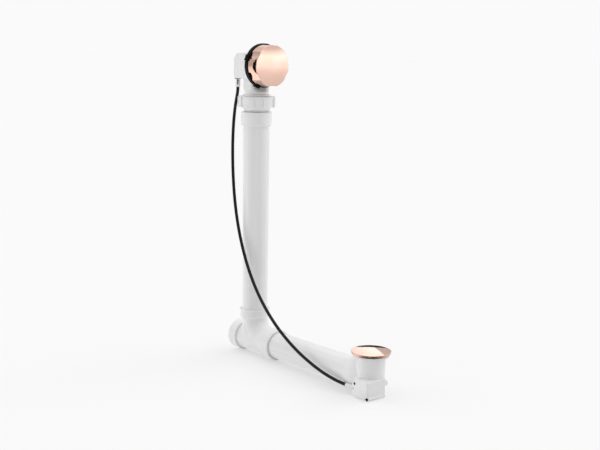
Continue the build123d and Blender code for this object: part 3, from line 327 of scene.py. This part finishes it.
# Heights of the overflow and of the run pipe, and the planes that the screw heads seat on
overflow_z = 471.5
run_z = -42.5
lever_cover_y = -30.19
side_box_x = -353.7
plate_x = -292.5
cover_screws = fit_screws(
    "lever_cover_screws",
    "cover_screws",
    pan_screw(head_radius=2.5, head_height=1.6, shank_radius=1.4, shank_length=10.0, thread_pitch=0.8),
    aim=Vector((0, -1, 0)),
    places=((-5.5, lever_cover_y, run_z - 6.5), (24.3, lever_cover_y, run_z - 27.2)),
    spins=(20, 65),
)
box_screws = fit_screws(
    "side_box_screws",
    "gear_cover_screws",
    pan_screw(head_radius=2.4, head_height=1.6, shank_radius=1.2, shank_length=16.0, thread_pitch=0.8),
    aim=Vector((-1, 0, 0)),
    places=(
        (side_box_x, 7.2, overflow_z + 10.0),
        (side_box_x, 7.2, overflow_z - 17.0),
        (side_box_x, -10.0, overflow_z - 18.0),
    ),
    spins=(10, 50, 75),
)
plate_screws = fit_screws(
    "plate_screws",
    "retaining_screws",
    pan_screw(head_radius=4.5, head_height=2.4, shank_radius=2.5, shank_length=16.0, thread_pitch=1.2),
    aim=Vector((1, 0, 0)),
    places=((plate_x, 19.5, overflow_z), (plate_x, -19.5, overflow_z)),
    spins=(30, 80),
)

# Lower ferrule, with a nose that fills its hole in the bevelled corner of the lever box
sleeve_start = (-30.5, -26.99, run_z - 16.0)
sleeve_length = 20.9
sleeve_radius = 3.6
sleeve_bevel = 0.4
nose_bevel = 0.5
sheath_bore = 2.95
sheath_depth = 4.0
wire_bore = 1.3
sleeve_wall = [
    (sheath_bore, 0.0),
    (sleeve_radius - sleeve_bevel, 0.0),
    (sleeve_radius, sleeve_bevel),
    (sleeve_radius, sleeve_length - nose_bevel),
    (sleeve_radius - nose_bevel, sleeve_length),
    (wire_bore, sleeve_length),
    (wire_bore, sheath_depth),
    (sheath_bore, sheath_depth),
]
sleeve_shape = turned(sleeve_wall, hollow=True)
sleeve_shape.transform(aimed(Vector(sleeve_start) * MM, Vector((1, 0, 0))) @ mm_scale)
lower_sleeve = fitted("lower_ferrule_sleeve", sleeve_shape, "lower_ferrule", "frame")
upper_strands = fit_wire("upper_wire_strands", "upper_wire", "upper_rack")
lower_strands = fit_wire("lower_wire_strands", "lower_wire", "lower_rack")

# Materials

# Where most of a noise's values lie, and how finely it is broken up
drift_spread = {"From_Min": 0.35, "From_Max": 0.65}
grain_spread = {"From_Min": 0.3, "From_Max": 0.7}
drift_detail = 3.0
grain_detail = 4.0
no_stretch = (1.0, 1.0, 1.0)
edge_samples = 4
# Wander and depth of the rings that turning leaves
ring_wander = 0.4
ring_depth = 0.01 * MM


def surface(
    name,
    colours,
    drift_mm,
    gloss,
    grain_mm,
    depth_mm,
    stretch=no_stretch,
    edge_mm=0.0,
    ring_axis="X",
    ring_mm=0.0,
    **values,
):
    """A material whose shade drifts between two colours, with a grain that lifts it and varies its gloss.

    A stretch below one draws the pattern out along that axis, an edge softens the corners, and rings lie
    across an axis at their pitch. Other values go to the shader's own sockets.
    """
    material = bpy.data.materials.new(name)
    material.use_nodes = True
    links = material.node_tree.links
    shader = material.node_tree.nodes["Principled BSDF"]
    for socket, value in values.items():
        shader.inputs[socket.replace("_", " ")].default_value = value
    place = add(material, "ShaderNodeTexCoord", take="Object")
    drawn = add(material, "ShaderNodeMapping", {"Vector": place}, take="Vector", Scale=stretch)
    drift = add(
        material, NOISE, {"Vector": drawn}, take="Fac", Scale=feature_scale(drift_mm), Detail=drift_detail
    )
    shade = add(material, MAP_RANGE, {"Value": drift}, take="Result", **drift_spread)
    pale, deep = [linear(colour) for colour in colours]
    mixed = add(material, MIX, {0: shade}, take=2, data_type="RGBA", input_6=pale, input_7=deep)
    links.new(mixed, shader.inputs["Base Color"])
    grain = add(
        material, NOISE, {"Vector": drawn}, take="Fac", Scale=feature_scale(grain_mm), Detail=grain_detail
    )
    rough_range = {"To_Min": gloss[0], "To_Max": gloss[1], **grain_spread}
    rough = add(material, MAP_RANGE, {"Value": grain}, take="Result", **rough_range)
    links.new(rough, shader.inputs["Roughness"])
    lifted = {"Height": grain}
    if edge_mm:
        edge = edge_mm * MM
        lifted["Normal"] = add(material, "ShaderNodeBevel", take="Normal", Radius=edge, samples=edge_samples)
    normal = add(material, BUMP, lifted, take="Normal", Distance=depth_mm * MM)
    if ring_mm:
        rings = add(
            material,
            "ShaderNodeTexWave",
            {"Vector": place},
            take="Fac",
            bands_direction=ring_axis,
            Scale=ring_scale(ring_mm),
            Distortion=ring_wander,
        )
        normal = add(material, BUMP, {"Height": rings, "Normal": normal}, take="Normal", Distance=ring_depth)
    links.new(normal, shader.inputs["Normal"])
    return material


# Moulded white PVC: half gloss, with the faint orange peel of the mould and soft corners
moulded_pvc = surface(
    "moulded_white_pvc",
    colours=("#f1f1f1", "#ededed"),
    drift_mm=22.0,
    gloss=(0.3, 0.42),
    grain_mm=1.8,
    depth_mm=0.02,
    edge_mm=0.4,
    IOR=1.53,
)

# Extruded white PVC pipe: fine die lines along its length, drawn broader than they are so that they show
riser_pvc, run_pvc = [
    surface(
        f"extruded_white_pvc_{lie}",
        colours=("#f0f0f0", "#ebebeb"),
        drift_mm=6.0,
        gloss=(0.26, 0.36),
        grain_mm=1.6,
        depth_mm=0.01,
        stretch=stretch,
        IOR=1.53,
    )
    for lie, stretch in (("upright", (1.0, 1.0, 0.02)), ("level", (0.02, 1.0, 1.0)))
]

# Polished rose-gold plating on metal: a warm mirror, with soft edges and the faint haze of polishing
rose_plating = surface(
    "polished_rose_gold_plating",
    colours=("#f4cfbf", "#efc7b5"),
    drift_mm=30.0,
    gloss=(0.03, 0.06),
    grain_mm=3.0,
    depth_mm=0.0002,
    edge_mm=0.6,
    Metallic=1.0,
)

# Moulded black rubber: dark and matt, with a fine grain and a grey bloom
black_rubber = surface(
    "moulded_black_rubber",
    colours=("#0a0a0a", "#040404"),
    drift_mm=7.0,
    gloss=(0.45, 0.62),
    grain_mm=1.2,
    depth_mm=0.02,
    edge_mm=0.3,
    Specular_IOR_Level=0.15,
)

# Zinc-plated steel: grey and mottled, with a dull shine
zinc_steel = surface(
    "zinc_plated_steel",
    colours=("#b6b8ba", "#94979b"),
    drift_mm=3.0,
    gloss=(0.26, 0.42),
    grain_mm=0.7,
    depth_mm=0.004,
    Metallic=1.0,
)

# Blackened steel: dark oxide over metal, with a low shine
black_steel = surface(
    "blackened_steel",
    colours=("#2a2a2b", "#1b1b1c"),
    drift_mm=2.5,
    gloss=(0.34, 0.5),
    grain_mm=0.7,
    depth_mm=0.004,
    Metallic=1.0,
)

# Turned brass: rings left by the tool, drawn coarser than they are so that they show
level_brass, upright_brass = [
    surface(
        f"turned_brass_{lie}",
        colours=("#d3ad69", "#c0964f"),
        drift_mm=5.0,
        gloss=(0.2, 0.34),
        grain_mm=0.9,
        depth_mm=0.002,
        ring_axis=axis,
        ring_mm=0.8,
        Metallic=1.0,
    )
    for lie, axis in (("level", "X"), ("upright", "Z"))
]

# Moulded acetal: milky white and smooth, with a low sheen
moulded_acetal = surface(
    "moulded_acetal",
    colours=("#ececeb", "#e4e4e2"),
    drift_mm=6.0,
    gloss=(0.34, 0.46),
    grain_mm=0.9,
    depth_mm=0.008,
    edge_mm=0.2,
    IOR=1.48,
)

# Moulded polythene: waxy and a little cloudy
moulded_polythene = surface(
    "moulded_polythene",
    colours=("#dededa", "#d0d0cb"),
    drift_mm=8.0,
    gloss=(0.36, 0.5),
    grain_mm=1.4,
    depth_mm=0.01,
    IOR=1.51,
)

# Extruded black sheath: a smooth jacket, dulled in places by handling
black_sheath = surface(
    "extruded_black_sheath",
    colours=("#0b0b0b", "#050505"),
    drift_mm=9.0,
    gloss=(0.36, 0.5),
    grain_mm=1.6,
    depth_mm=0.008,
    Specular_IOR_Level=0.3,
)

pipe_fittings = ("tee", "riser_coupling", "slip_nut")
bodies_and_covers = ("overflow_body", "gear_cover", "drain_shoe", "lever_cover")
drive_mouldings = ("drive_pinion", "upper_rack", "lower_rack", "lever_shaft", "lifter_arm", "upper_ferrule")
finishes = {
    moulded_pvc: pipe_fittings + bodies_and_covers,
    riser_pvc: ("riser_pipe",),
    run_pvc: ("run_pipe",),
    rose_plating: ("knob", "stopper", "drain_flange"),
    black_rubber: ("overflow_gasket", "drain_gasket", "spindle_o_ring", "shaft_o_ring", "stopper_seal"),
    zinc_steel: ("retaining_plate", "knob_set_screw", "pinion_screw"),
    black_steel: ("ferrule_clip",),
    level_brass: ("spindle",),
    upright_brass: ("stopper_stem",),
    moulded_acetal: drive_mouldings,
    moulded_polythene: ("slip_washer",),
}
for material, names in finishes.items():
    for name in names:
        mesh = nodes[name].data
        mesh.materials.clear()
        mesh.materials.append(material)
sheath_curve.materials.append(black_sheath)
added_finishes = {
    black_steel: (cover_screws,),
    moulded_acetal: (lower_sleeve,),
    zinc_steel: (box_screws, plate_screws, upper_strands, lower_strands),
}
sharp_angle = math.radians(35)
for material, pieces in added_finishes.items():
    for piece in pieces:
        piece.data.materials.append(material)
        piece.data.polygons.foreach_set("use_smooth", [True] * len(piece.data.polygons))
        piece.data.set_sharp_from_angle(angle=sharp_angle)

# Studio: white paper on the floor, a sky of soft boxes, and cards that only reflections show

# Camera axes on the floor plan, which the studio is set out by
camera_right = Vector((math.cos(camera_azimuth), math.sin(camera_azimuth), 0.0))
camera_back = Vector((math.sin(camera_azimuth), -math.cos(camera_azimuth), 0.0))
upward = Vector((0.0, 0.0, 1.0))
white = (1.0, 1.0, 1.0, 1.0)

# Brightness of the backdrop and the room, as parts of white
backdrop_white = 0.956
room_light = 0.04
# Soft boxes: the way each lies from the object, how tightly it gathers, and its strength
soft_boxes = [
    (camera_right - 0.2 * camera_back, 2.0, 0.94),
    (-camera_right - 0.2 * camera_back, 2.0, 1.45),
    (upward, 2.0, 1.2),
    (-camera_back, 2.0, 0.12),
    (camera_right - 0.6 * camera_back + 0.9 * upward, 16.0, 1.7),
]

world = bpy.data.worlds.new("studio")
scene.world = world
world.use_nodes = True
background = world.node_tree.nodes["Background"]
background.inputs["Color"].default_value = white
way = add(world, "ShaderNodeTexCoord", take="Generated")
light = None
for aim, gather, strength in soft_boxes:
    facing = add(
        world, VECTOR_MATH, {0: way}, take="Value", operation="DOT_PRODUCT", input_1=aim.normalized()
    )
    facing = add(world, MATH, {0: facing}, take=0, operation="MAXIMUM", input_1=0.0)
    beam = add(world, MATH, {0: facing}, take=0, operation="POWER", input_1=gather)
    # The first box adds to the room's light, and each later one to the boxes before it
    so_far = {2: light} if light else {}
    light = add(
        world,
        MATH,
        {0: beam, **so_far},
        take=0,
        operation="MULTIPLY_ADD",
        input_1=strength,
        input_2=room_light,
    )

# What the metal mirrors: a dim room that brightens overhead and is dark on the camera's side, a pale wall
# to the right above a bright strip at the horizon, and behind the object a white card that ends on the
# right and stands over a dark gap
mirrored_room = 0.5
mirrored_wall = 0.79
mirrored_camera_side = 0.05
mirrored_past_card = 0.58
mirrored_gap = 0.02
# Each ramp runs over the part of a ray's direction that points up, right or behind
strip_fade = {"From_Min": 0.08, "From_Max": 0.035}
strip_ramp = {"From_Min": -0.02, "From_Max": 0.044, "To_Min": 1.34, "To_Max": 1.7}
wall_fade = {"From_Min": -0.4, "From_Max": 0.5}
overhead_ramp = {"From_Min": 0.42, "From_Max": 0.95, "To_Max": 0.55}
camera_side_fade = {"From_Min": -0.5, "From_Max": -0.8}
camera_side_top = {"From_Min": 0.4, "From_Max": 0.25, "To_Max": 0.85}
card_ramp = {"From_Min": 0.0, "From_Max": 0.065, "To_Min": 0.86, "To_Max": 1.42}
card_lean = -0.176
card_edge = 0.035
card_gap = math.sin(math.radians(12.6))
card_behind = 0.6
card_middle = 0.03
card_half_width = 0.3

right, behind, up = [
    add(world, VECTOR_MATH, {0: way}, take="Value", operation="DOT_PRODUCT", input_1=aim)
    for aim in (camera_right, -camera_back, upward)
]
strip = add(world, MAP_RANGE, {"Value": up}, take="Result", **strip_fade)
horizon = add(world, MAP_RANGE, {"Value": up}, take="Result", **strip_ramp)
wall = add(world, MIX, {0: strip, 3: horizon}, take=0, data_type="FLOAT", input_2=mirrored_wall)
to_wall = add(world, MAP_RANGE, {"Value": right}, take="Result", **wall_fade)
mirrored = add(world, MIX, {0: to_wall, 3: wall}, take=0, data_type="FLOAT", input_2=mirrored_room)
overhead = add(world, MAP_RANGE, {"Value": up}, take="Result", **overhead_ramp)
mirrored = add(world, MATH, {0: mirrored, 1: overhead}, take=0, operation="ADD")
in_front = add(world, MAP_RANGE, {"Value": behind}, take="Result", **camera_side_fade)
low_down = add(world, MAP_RANGE, {"Value": up}, take="Result", **camera_side_top)
in_front = add(world, MATH, {0: in_front, 1: low_down}, take=0, operation="MULTIPLY")
mirrored = add(
    world, MIX, {0: in_front, 2: mirrored}, take=0, data_type="FLOAT", input_3=mirrored_camera_side
)
card = add(world, MAP_RANGE, {"Value": right}, take="Result", **card_ramp)
leaning = add(world, MATH, {0: up, 2: right}, take=0, operation="MULTIPLY_ADD", input_1=card_lean)
past_card = add(world, MATH, {0: leaning}, take=0, operation="GREATER_THAN", input_1=card_edge)
card = add(world, MIX, {0: past_card, 2: card}, take=0, data_type="FLOAT", input_3=mirrored_past_card)
in_gap = add(world, MATH, {0: up}, take=0, operation="LESS_THAN", input_1=card_gap)
card = add(world, MIX, {0: in_gap, 2: card}, take=0, data_type="FLOAT", input_3=mirrored_gap)
far_side = add(world, MATH, {0: behind}, take=0, operation="GREATER_THAN", input_1=card_behind)
across_card = add(
    world, MATH, {0: right}, take=0, operation="COMPARE", input_1=card_middle, input_2=card_half_width
)
on_card = add(world, MATH, {0: far_side, 1: across_card}, take=0, operation="MULTIPLY")
mirrored = add(world, MIX, {0: on_card, 2: mirrored, 3: card}, take=0, data_type="FLOAT")

sky_path = add(world, "ShaderNodeLightPath")
sky = add(world, MIX, {0: sky_path["Is Glossy Ray"], 2: light, 3: mirrored}, take=0, data_type="FLOAT")
sky = add(
    world, MIX, {0: sky_path["Is Camera Ray"], 2: sky}, take=0, data_type="FLOAT", input_3=backdrop_white
)
world.node_tree.links.new(sky, background.inputs["Strength"])

# Floor under the object: white paper, whose shadows the camera sees softened by a glow
floor_reach = 30.0
floor_z = cad_box[0][2]
floor_mesh = bpy.data.meshes.new("floor")
floor_signs = ((-1, -1), (1, -1), (1, 1), (-1, 1))
floor_corners = [(x * floor_reach, y * floor_reach, floor_z) for x, y in floor_signs]
floor_mesh.from_pydata(floor_corners, [], [(0, 1, 2, 3)])
floor = bpy.data.objects.new("floor", floor_mesh)
scene.collection.objects.link(floor)

floor_glow = 0.473
lit_paper = linear("#f3f3f3")
seen_paper = linear("#b3b3b3")
# Black in reflections, so that they show only the floor's painted glow
mirrored_paper = linear("#000000")
floor_paper = bpy.data.materials.new("white_paper_floor")
floor_paper.use_nodes = True
floor_links = floor_paper.node_tree.links
floor_shader = floor_paper.node_tree.nodes["Principled BSDF"]
floor_shader.inputs["Roughness"].default_value = 1.0
floor_shader.inputs["Specular IOR Level"].default_value = 0.0
floor_shader.inputs["Emission Color"].default_value = white
floor_path = add(floor_paper, "ShaderNodeLightPath")
seen = floor_path["Is Camera Ray"]
reflected = floor_path["Is Glossy Ray"]
paper = add(floor_paper, MIX, {0: seen}, take=2, data_type="RGBA", input_6=lit_paper, input_7=seen_paper)
paper = add(floor_paper, MIX, {0: reflected, 6: paper}, take=2, data_type="RGBA", input_7=mirrored_paper)
floor_links.new(paper, floor_shader.inputs["Base Color"])

# In reflections the paper is black and shows only a painted glow, which grows brighter with distance to the
# right, is bright near the object on the left, and is painted dark just in front of the drain. Distances are
# in metres.
right_ramp = {"From_Min": 2.0, "From_Max": 18.0, "To_Min": 0.78, "To_Max": 1.36}
left_ramp = {"From_Min": -6.0, "From_Max": -1.0, "To_Min": 0.75, "To_Max": 1.2}
ahead_fade = {"From_Min": 0.2, "From_Max": 0.6, "To_Max": 0.95}
nearby_fade = {"From_Min": 0.9, "From_Max": 0.4}
spot = add(floor_paper, "ShaderNodeNewGeometry", take="Position")
across = add(
    floor_paper, VECTOR_MATH, {0: spot}, take="Value", operation="DOT_PRODUCT", input_1=camera_right
)
right_part = add(floor_paper, MAP_RANGE, {"Value": across}, take="Result", **right_ramp)
left_part = add(floor_paper, MAP_RANGE, {"Value": across}, take="Result", **left_ramp)
on_right = add(floor_paper, MATH, {0: across}, take=0, operation="GREATER_THAN", input_1=0.0)
shown = add(floor_paper, MIX, {0: on_right, 2: left_part, 3: right_part}, take=0, data_type="FLOAT")
heading = add(floor_paper, VECTOR_MATH, {0: spot}, take="Vector", operation="NORMALIZE")
ahead = add(
    floor_paper, VECTOR_MATH, {0: heading}, take="Value", operation="DOT_PRODUCT", input_1=camera_back
)
ahead = add(floor_paper, MAP_RANGE, {"Value": ahead}, take="Result", **ahead_fade)
apart = add(floor_paper, VECTOR_MATH, {0: spot}, take="Value", operation="LENGTH")
nearby = add(floor_paper, MAP_RANGE, {"Value": apart}, take="Result", **nearby_fade)
unlit = add(floor_paper, MATH, {0: ahead, 1: nearby}, take=0, operation="MULTIPLY")
still_lit = add(floor_paper, MATH, {1: unlit}, take=0, operation="SUBTRACT", input_0=1.0)
shown = add(floor_paper, MATH, {0: shown, 1: still_lit}, take=0, operation="MULTIPLY")
shown = add(floor_paper, MATH, {0: reflected, 1: shown}, take=0, operation="MULTIPLY")
glow = add(floor_paper, MATH, {0: seen, 2: shown}, take=0, operation="MULTIPLY_ADD", input_1=floor_glow)
floor_links.new(glow, floor_shader.inputs["Emission Strength"])
floor_mesh.materials.append(floor_paper)
